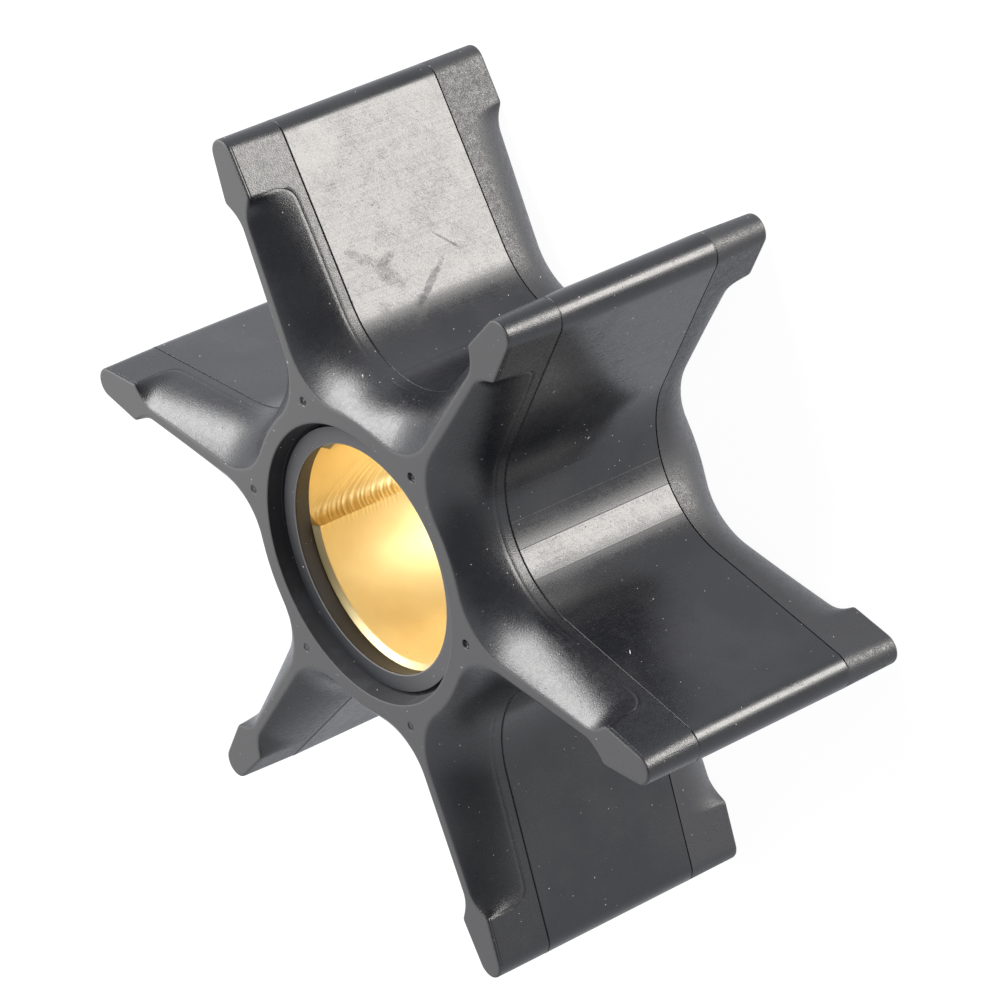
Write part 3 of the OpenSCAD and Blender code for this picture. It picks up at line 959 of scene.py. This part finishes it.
def rubber_finish(f, s, groups):
    """Moulded black rubber: glossy between the parting lines, grained beyond them, matt on the end faces."""
    t = Finish("black_rubber", groups, s.length)
    mask, off, radius, middle = t.mask, t.off, t.radius, t.middle
    parting = middle - s.parting_depth / MM
    belt = t.fall(off, parting - BELT_EDGE, parting + BELT_EDGE)
    upper = t.ramp(t.z, middle - HALVES_EDGE, middle + HALVES_EDGE)
    face = t.ramp(off, middle - FACE_EDGE[0], middle - FACE_EDGE[1])
    hub = t.product(t.fall(radius, *HUB_OUTSIDE), t.math("SUBTRACT", 1.0, face))
    lip = t.product(t.fall(radius, *LIP_OUTSIDE), t.fall(off, *LIP_ABOVE))

    def zoned(on_upper, on_lower, on_belt, on_face):
        """The value of each point's own zone."""
        ends = t.between(upper, on_lower, on_upper)
        return t.between(face, t.between(belt, ends, on_belt), on_face)

    fine = mask("Grain", Size=f.grain_size / MM, Detail=2.0, Seed=4.0)
    coarse = mask("Grain", Size=0.45, Detail=1.0, Seed=14.0)
    cloud = mask("Patches", Size=7.0, Threshold=0.42, Softness=0.22, Raggedness=0.55, Seed=2.0)
    film = mask("Patches", Size=2.6, Threshold=0.55, Softness=0.10, Raggedness=0.65, Seed=9.0)
    polish = mask("Streaks", Turn=(0.05, 0.0, 0.0), Spacing=(0.14, 0.14, 7.0), Seed=0.0)
    wiped = mask("Streaks", Turn=(0.9, 0.25, 0.0), Spacing=(0.16, 0.16, 2.2), Seed=6.0)

    # Roughness by zone, with the marks of hands and the mould.
    scuffed = mask("Patches", Size=1.1, Threshold=0.5, Softness=0.06, Raggedness=0.7, Seed=41.0)
    edge = t.product(mask("Grain", Size=0.8, Detail=2.0, Seed=7.0), SMUDGE_UNEVEN)
    smudges = []
    for centre, tilt, half_width, half_length, change in SMUDGES:
        smudges.append((mask(
            "Smudge", Centre=centre, Turn=(tilt, 0.0, 0.0), Reach=(SMUDGE_DEEP, half_length, half_width),
            Uneven=edge, Softness=0.5), change))
    on_belt = t.total(
        f.belt_roughness, (cloud, 0.035), (film, 0.035), (scuffed, 0.03), (fine, 0.45), (coarse, 0.06),
        (polish, 0.12), (wiped, 0.10), *smudges)
    on_upper = t.total(f.near_roughness, (coarse, 0.2), (fine, 0.3))
    on_lower = t.total(f.far_roughness, (coarse, 0.25), (fine, 0.8))
    rough = zoned(on_upper, on_lower, on_belt, f.face_roughness)
    rough = t.between(hub, rough, t.between(t.ramp(radius, *WALL_FOOT), FLOOR_ROUGHNESS, WALL_ROUGHNESS))
    rough = t.between(lip, rough, LIP_ROUGHNESS)

    # Marks: pits, which are rougher and are painted darker as shade inside them, pale dust and dashes.
    pits = t.product(
        mask("Patches", Size=6.0, Threshold=0.40, Softness=0.12, Seed=21.0),
        mask("Specks", Spacing=(0.34, 0.34, 0.34), Radius=0.17, Share=0.5))
    few_pits = mask("Specks", Spacing=(0.9, 0.9, 0.9), Radius=0.075, Share=0.6, Offset=(3.3, 1.7, 0.4))
    pits = t.math("MAXIMUM", pits, few_pits)
    dust = mask("Specks", Spacing=(0.7, 0.7, 0.7), Radius=0.07, Share=0.75, Offset=(0.3, 0.9, 0.1))
    fine_dust = mask("Specks", Spacing=(0.5, 0.5, 0.5), Radius=0.05, Share=0.38, Offset=(1.9, 2.4, 0.7))
    dust = t.math("MAXIMUM", dust, t.product(fine_dust, upper, FINE_DUST_SHARE))
    dashes = mask("Specks", Turn=(0.5, 0.35, 0.7), Spacing=(6.0, 1.0, 1.0), Radius=0.065, Share=0.5)
    more_dashes = mask(
        "Specks", Turn=(-0.7, 0.2, -0.5), Spacing=(1.1, 1.1, 5.0), Radius=0.06, Share=0.45,
        Offset=(4.1, 0.2, 2.2))
    dust = t.math("MAXIMUM", dust, t.product(t.math("MAXIMUM", dashes, more_dashes), DASH_SHARE))
    rough = t.between(pits, rough, PIT_ROUGHNESS)
    rough = t.between(dust, rough, DUST_ROUGHNESS)

    # Colours by zone, then the marks; the recess floor, the edge of the lip and the pits also get painted
    # light and shade.
    face_paling = t.ramp(t.vector("DOT_PRODUCT", t.place, FACE_PALER_TOWARDS), *FACE_PALER_FROM_TO)
    painted_light_on_floor = t.ramp(t.vector("DOT_PRODUCT", t.place, PAINTED_LIGHT_TOWARDS), *PAINTED_LIGHT_FROM_TO)
    far_ends = t.product(t.fall(belt, 0.0, 1.0), t.fall(upper, 0.0, 1.0))
    scuffs = t.product(hub, film, t.ramp(wiped, 0.0, 0.6, 0.3, 1.0))
    # The recess floor, painted from Rubber to Recess across it: painted light on one side, painted shade on
    # the other.
    floor = t.product(hub, t.ramp(off, *FLOOR_BELOW), t.fall(off, *FLOOR_ABOVE))
    # A painted highlight along the edge of the lip at the recess floor.
    rim = t.product(t.fall(radius, *RIM_OUTSIDE), t.ramp(off, *RIM_BELOW), hub)
    tint = t.blend(cloud, f.rubber, f.bloom)
    for where, over in (
            (far_ends, f.far_bloom), (scuffs, SCUFF_TINT), (face, t.blend(face_paling, f.cut_face, f.paler_face)),
            (floor, t.blend(painted_light_on_floor, f.rubber, f.recess)), (lip, f.lip), (rim, PAINTED_RIM_HIGHLIGHT), (pits, PIT_SHADE_TINT),
            (dust, f.dust)):
        tint = t.blend(where, tint, over)

    grain = zoned(f.near_grain / MM, f.far_grain / MM, f.belt_grain / MM, f.face_grain / MM)
    t.finish(tint, rough, t.total(t.product(fine, grain), (polish, POLISH_HEIGHT)))
    t.inputs["IOR"].default_value = RUBBER_IOR


def brass_finish(f, s, h, groups):
    """Machined brass: turning lines round the bore, small tint changes, painted shade at the ends of the bore
    and a few dark specks.
    """
    t = Finish("turned_brass", groups, s.length)
    inside = t.middle - (h.insert_inset + h.bore_chamfer) / MM
    cloud = t.mask("Patches", Size=5.0, Threshold=0.4, Softness=0.25, Seed=31.0)
    specks = t.mask("Specks", Spacing=UNIT, Radius=0.05, Share=0.4)
    # The ends of the bore are painted darker: painted shade under the rubber lip.
    ends = t.ramp(t.off, inside - 0.02, inside + 0.02)
    tint = t.blend(cloud, f.brass, [c * part for c, part in zip(f.brass, DEEP_BRASS)])
    tint = t.blend(ends, tint, [c * END_BRASS_SHADE for c in f.brass])
    tint = t.blend(specks, tint, BRASS_SPECK_TINT)
    rough = t.total(f.brass_roughness, (t.mask("Grain", Size=1.6, Seed=5.0), 0.12))
    turning = t.mask("Streaks", Spacing=(30.0, 30.0, 0.09), Seed=3.0)
    fine = t.mask("Grain", Size=0.12, Detail=2.0)
    t.finish(tint, rough, t.total(t.product(fine, BRASS_GRAIN_HEIGHT), (turning, TURNING_HEIGHT)))
    t.plug(t.inputs["Metallic"], t.ramp(specks, 0.0, 1.0, 1.0, BRASS_SPECK_METAL))
    t.inputs["Coat Weight"].default_value = COAT
    t.inputs["Coat Roughness"].default_value = COAT_ROUGHNESS


# ---------------------------------------------------------------- operators


class IMPELLER_OT_finishes(bpy.types.Operator):
    """Make the rubber and brass finishes"""

    bl_idname = "impeller.finishes"
    bl_label = "Finishes"

    def execute(self, context):
        scene = context.scene
        groups = {tree.name: tree for tree in (
            grain_group(), patches_group(), specks_group(), streaks_group(), smudge_group())}
        rubber_finish(scene.impeller_finish, scene.impeller_body, groups)
        brass_finish(scene.impeller_finish, scene.impeller_body, scene.impeller_hub, groups)
        return {"FINISHED"}


class IMPELLER_OT_body(bpy.types.Operator):
    """Build the rubber body with its vanes and hub recess"""

    bl_idname = "impeller.body"
    bl_label = "Rubber body"

    def execute(self, context):
        s, h = context.scene.impeller_body, context.scene.impeller_hub
        body = new_piece("rubber_body", *build_sector(s, h))
        through_nodes(body, repeat_round_axis(), {
            **REPEAT, "Count": s.vane_count, "Material": bpy.data.materials["black_rubber"]})
        self.vary_pin_marks(body.data, s, h)
        finish_piece(body, 38, ["vane_body"])
        return {"FINISHED"}

    def vary_pin_marks(self, mesh, s, h):
        """Some pins left a deep mark and some a faint one."""
        for t, part in zip(vane_angles(s), PIN_MARK_SHARES):
            middle = Vector((*polar(h.pin_mark_circle, t), s.length))
            for vertex in mesh.vertices:
                if (vertex.co - middle).length < PIN_MARK_REACH * h.pin_mark_radius:
                    vertex.co.z = s.length - (s.length - vertex.co.z) * part


class IMPELLER_OT_flash(bpy.types.Operator):
    """Lay the thin flash along both parting lines"""

    bl_idname = "impeller.flash"
    bl_label = "Parting flash"

    def execute(self, context):
        s = context.scene.impeller_body
        depth = s.parting_depth + s.flash_offset
        outline = mirrored(half_vane(vane_profile(s), depth, FLASH_SUNK))[:-1] * FLASH_SHARE
        verts, edges = [], []
        for z in (depth, s.length - depth):
            start = len(verts)
            for t in vane_angles(s):
                verts += [(x * cos(t) - y * sin(t), x * sin(t) + y * cos(t), z) for x, y in outline]
            count = len(verts) - start
            edges += [(start + i, start + (i + 1) % count) for i in range(count)]
        flash = new_piece("parting_flash", verts, edges=edges)
        through_nodes(flash, flash_along_lines(), {
            **FLASH, "Radius": s.flash_radius, "Material": bpy.data.materials["black_rubber"]})
        finish_piece(flash, 80)
        return {"FINISHED"}


class IMPELLER_OT_insert(bpy.types.Operator):
    """Build the brass insert with its bore and keyway"""

    bl_idname = "impeller.insert"
    bl_label = "Brass insert"

    def execute(self, context):
        verts, faces = build_insert(context.scene.impeller_hub, context.scene.impeller_body.length)
        insert = new_piece("brass_insert", verts, faces, material=bpy.data.materials["turned_brass"])
        finish_piece(insert, 30, ["hub_insert"])
        return {"FINISHED"}


CAMERA_PLACE = (0.291768, 0.056278, 0.194468)
CAMERA_RIGHT = (0.5513642, -0.3056224, -0.7762683)
CAMERA_DOWN = (-0.0337039, -0.9378825, 0.3453121)
CAMERA_AHEAD = (-0.8335836, -0.1642295, -0.5274155)
FOCAL_PIXELS = 4758.5
PICTURE_MIDDLE = 1001 / 2
PRINCIPAL_POINT = (504.94, 517.60)
LIGHT_TARGET = Vector((0, 0, 0.0115))
WARM, PLAIN = (1.0, 0.965, 0.915), (1.0, 0.99, 0.975)
# Softboxes: strength, azimuth and elevation in degrees, width, height and distance in metres, tint.
SOFTBOXES = {
    "side_softbox": ("side_strength", 16.0, -33, 0.20, 0.24, 0.5, WARM),
    "side_softbox_edge": ("side_edge_strength", 15.5, -36, 0.40, 0.48, 0.52, WARM),
    "top_softbox": ("top_strength", 105, 33, 0.38, 0.38, 0.5, PLAIN),
    "top_softbox_edge": ("top_edge_strength", 112, 33, 0.72, 0.60, 0.52, PLAIN),
}
# Darker and brighter parts of the world: azimuth and elevation in degrees, cosines at the edge and
# inside, and level.
WORLD_PATCHES = (
    (10, 30, 0.40, 0.85, 0.35),
    (242, 5, 0.78, 0.94, 0.7),
    (214, -28, 0.95, 0.985, 0.55),
    (0, -90, 0.80, 0.95, 1.45),
    (126, -29, 0.88, 0.96, 1.1),
)
FILL_TINT = (0.965, 0.98, 1.03)
FLOOR_HALF = 1.5
FLOOR_TINT = (0.12, 0.12, 0.12, 1)


def empty_tree(owner):
    """The tree of a new material or world, without its first nodes."""
    owner.use_nodes = True
    owner.node_tree.nodes.clear()
    return Tree(owner.node_tree)


def light_path(t):
    """Outputs for the camera's rays, and for rays reflected or let through."""
    path = t.add("ShaderNodeLightPath")
    return path["Is Camera Ray"], t.math("MAXIMUM", path["Is Glossy Ray"], path["Is Transmission Ray"])


class IMPELLER_OT_stage(bpy.types.Operator):
    """Set the camera, the lights, the world and the pale floor"""

    bl_idname = "impeller.stage"
    bl_label = "Stage"

    def execute(self, context):
        scene, s = context.scene, context.scene.impeller_stage
        self.camera(scene, s)
        self.lights(s)
        self.floor(s)
        self.world(scene, s)
        scene.view_settings.view_transform = "Standard"
        return {"FINISHED"}

    def camera(self, scene, s):
        """The camera of the photograph, turned to look through the middle of the picture."""
        right, down, ahead = (Vector(v) for v in (CAMERA_RIGHT, CAMERA_DOWN, CAMERA_AHEAD))
        aside, below = (PICTURE_MIDDLE - point for point in PRINCIPAL_POINT)
        back = -(ahead * FOCAL_PIXELS + right * aside + down * below).normalized()
        side = (right - back * right.dot(back)).normalized()
        turn = Matrix((side, back.cross(side), back)).transposed()
        camera = bpy.data.cameras.new("camera")
        camera.lens = s.lens
        camera.sensor_width = 36.0
        camera.sensor_fit = "HORIZONTAL"
        camera.clip_start = 0.01
        scene.camera = put("camera", camera, Matrix.Translation(CAMERA_PLACE) @ turn.to_4x4())

    def lights(self, s):
        """The softboxes, each as bright per area as its strength says."""
        for name, (strength, azimuth, elevation, width, height, distance, tint) in SOFTBOXES.items():
            light = bpy.data.lights.new(name, "AREA")
            light.shape = "RECTANGLE"
            light.size, light.size_y = width, height
            light.energy = getattr(s, strength) * width * height * pi
            light.color = tint
            towards = direction(azimuth, elevation)
            turn = towards.to_track_quat("Z", "Y").to_matrix().to_4x4()
            lamp = put(name, light, Matrix.Translation(LIGHT_TARGET + towards * distance) @ turn)
            lamp.visible_camera = False

    def floor(self, s):
        """A white floor that shows from above only and keeps a faint shadow."""
        material = bpy.data.materials.new("floor")
        corners = [(x * FLOOR_HALF, y * FLOOR_HALF, 0) for x, y in ((-1, -1), (1, -1), (1, 1), (-1, 1))]
        floor = new_piece("floor", corners, [(0, 1, 2, 3)], material=material)
        t = empty_tree(material)
        glow = t.add("ShaderNodeEmission", {
            "Strength": t.product(t.math("MAXIMUM", *light_path(t)), s.floor_glow)})[0]
        matt = t.add("ShaderNodeBsdfDiffuse", {"Color": FLOOR_TINT})[0]
        both = t.add("ShaderNodeAddShader", {0: glow, 1: matt})[0]
        clear = t.add("ShaderNodeBsdfTransparent")[0]
        under = t.add("ShaderNodeNewGeometry")["Backfacing"]
        t.add("ShaderNodeOutputMaterial", {0: t.add("ShaderNodeMixShader", {0: under, 1: both, 2: clear})[0]})
        floor.visible_glossy = False
        floor.visible_diffuse = False
        floor.visible_shadow = False

    def world(self, scene, s):
        """White all round for the camera and for reflections, darker behind the camera, even for the rest."""
        world = bpy.data.worlds.new("studio")
        t = empty_tree(world)
        seen, reflected = light_path(t)
        coords = t.add("ShaderNodeTexCoord")["Generated"]
        around = t.product(*(
            t.ramp(t.vector("DOT_PRODUCT", coords, direction(azimuth, elevation)), edge, inside, 1.0, level)
            for azimuth, elevation, edge, inside, level in WORLD_PATCHES))
        strength = t.between(seen, t.between(reflected, s.fill_strength, around), 1.0)
        white = t.add("ShaderNodeBackground", {
            "Color": t.blend(seen, FILL_TINT, UNIT), "Strength": strength})[0]
        t.add("ShaderNodeOutputWorld", {0: white})
        scene.world = world


class IMPELLER_PT_panel(bpy.types.Panel):
    """Lists the pieces of the impeller"""

    bl_idname = "IMPELLER_PT_panel"
    bl_label = "Impeller"
    bl_space_type = "VIEW_3D"
    bl_region_type = "UI"
    bl_category = "Impeller"

    def draw(self, context):
        for step in STEPS:
            self.layout.operator(step.bl_idname)


GROUPS = (
    ("impeller_body", ImpellerBodySizes),
    ("impeller_hub", ImpellerHubSizes),
    ("impeller_finish", ImpellerFinish),
    ("impeller_stage", ImpellerStage),
)
STEPS = (
    IMPELLER_OT_stage, IMPELLER_OT_finishes, IMPELLER_OT_body,
    IMPELLER_OT_flash, IMPELLER_OT_insert,
)


def register():
    for name, group in GROUPS:
        bpy.utils.register_class(group)
        setattr(bpy.types.Scene, name, bpy.props.PointerProperty(type=group))
    for step in (*STEPS, IMPELLER_PT_panel):
        bpy.utils.register_class(step)


def unregister():
    for step in reversed((*STEPS, IMPELLER_PT_panel)):
        bpy.utils.unregister_class(step)
    for name, group in reversed(GROUPS):
        delattr(bpy.types.Scene, name)
        bpy.utils.unregister_class(group)


def main():
    register()
    bpy.ops.impeller.stage()
    bpy.ops.impeller.finishes()
    bpy.ops.impeller.body()
    bpy.ops.impeller.flash()
    bpy.ops.impeller.insert()


if __name__ == "__main__":
    main()
